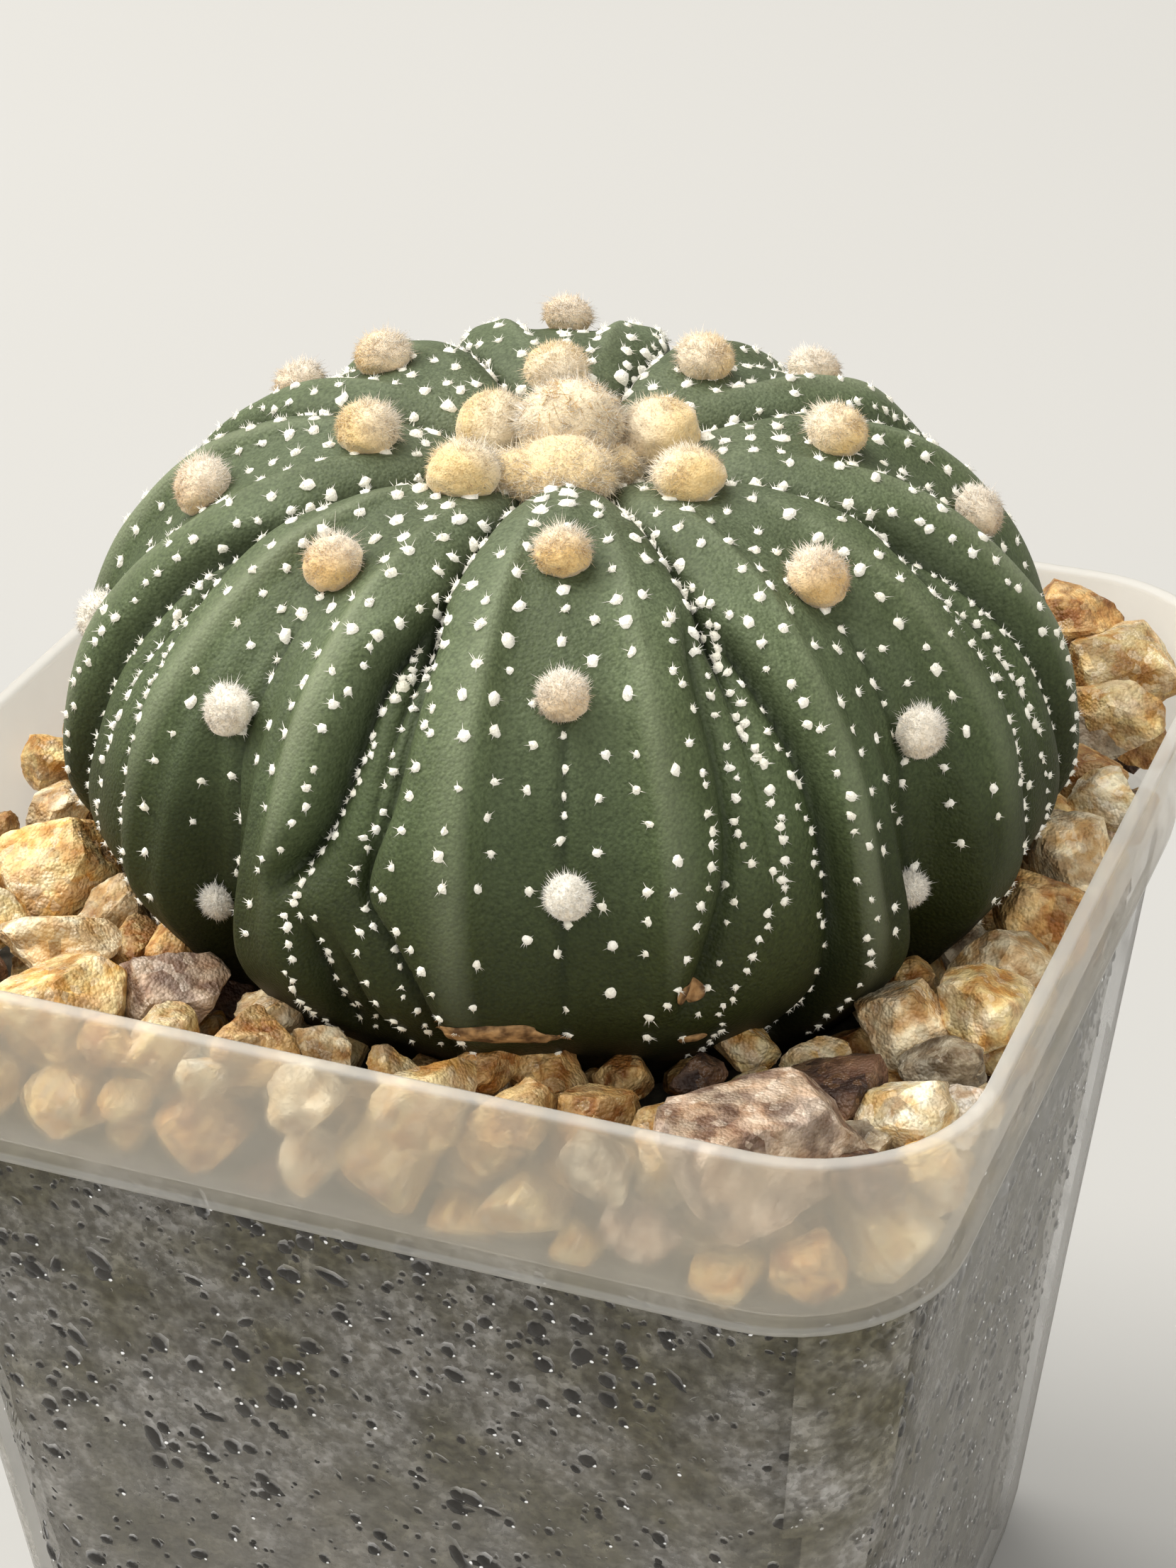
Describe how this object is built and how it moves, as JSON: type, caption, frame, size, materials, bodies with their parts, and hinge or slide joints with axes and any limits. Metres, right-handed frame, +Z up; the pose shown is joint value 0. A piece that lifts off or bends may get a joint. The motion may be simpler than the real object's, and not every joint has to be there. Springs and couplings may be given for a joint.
{
  "type": "potted star cactus",
  "caption": "Low round spineless ribbed cactus with wool tufts, in a square tapered translucent plastic pot topped with coarse gravel.",
  "frame": {"origin": "middle of the pot's underside", "axes": "+Z up, -Y towards the pot's front wall, +X to the right of it"},
  "size_m": [0.075, 0.075, 0.099],
  "materials": {
    "clear_plastic": "frosted translucent polypropylene",
    "potting_soil": "damp grit and soil",
    "gravel_stone": "rough quartz and granite grit",
    "cactus_skin": "matte skin with white flecks and wool"
  },
  "bodies": {
    "root": {"pot": "clear_plastic", "soil": "potting_soil", "gravel": "gravel_stone", "cactus": "cactus_skin"}
  },
  "joints": []
}
